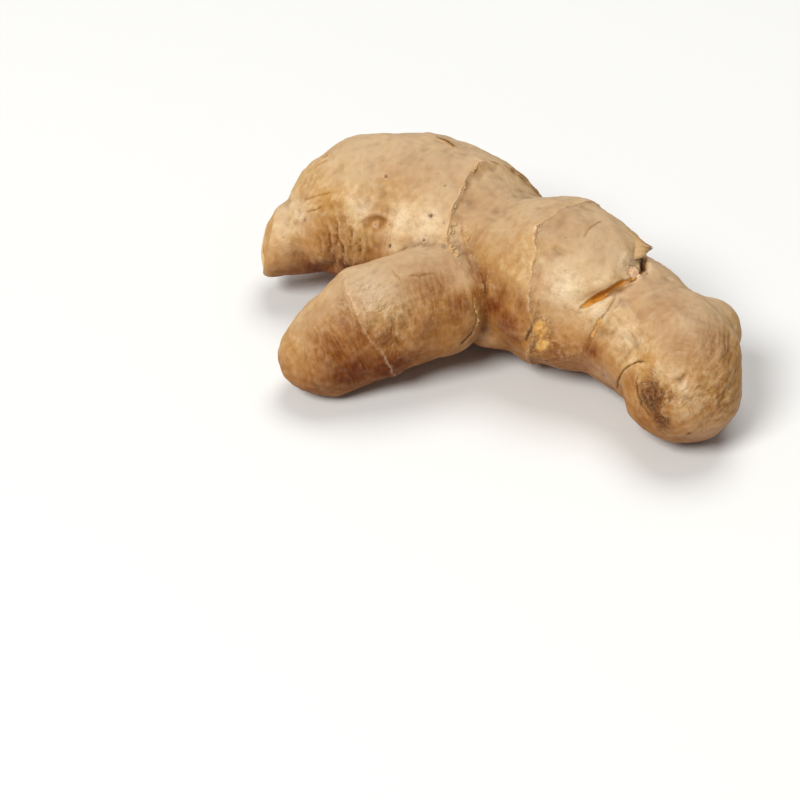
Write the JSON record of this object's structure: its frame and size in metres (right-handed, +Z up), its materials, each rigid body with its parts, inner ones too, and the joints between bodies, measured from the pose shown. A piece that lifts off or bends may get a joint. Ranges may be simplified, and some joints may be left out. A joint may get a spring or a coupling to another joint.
{
  "type": "ginger root",
  "caption": "Fresh ginger rhizome: plump knobbly body with ring scars, a thick finger ending in a bud, a shorter finger in front and a knife-cut stub, lying on its underside.",
  "frame": {"origin": "middle of the outline seen from above, on the surface the root lies on", "axes": "+X across the root from the cut stub to the bud-ended finger, +Y away from the viewer towards the hump, +Z up"},
  "size_m": [0.105, 0.0866, 0.0394],
  "materials": {
    "skin": "thin dry tan to golden-beige plant skin, satin, with darker brown ring scars; fresh yellow flesh at the cut stub and in the torn slit"
  },
  "bodies": {
    "root": {"rhizome": "skin"}
  },
  "joints": []
}
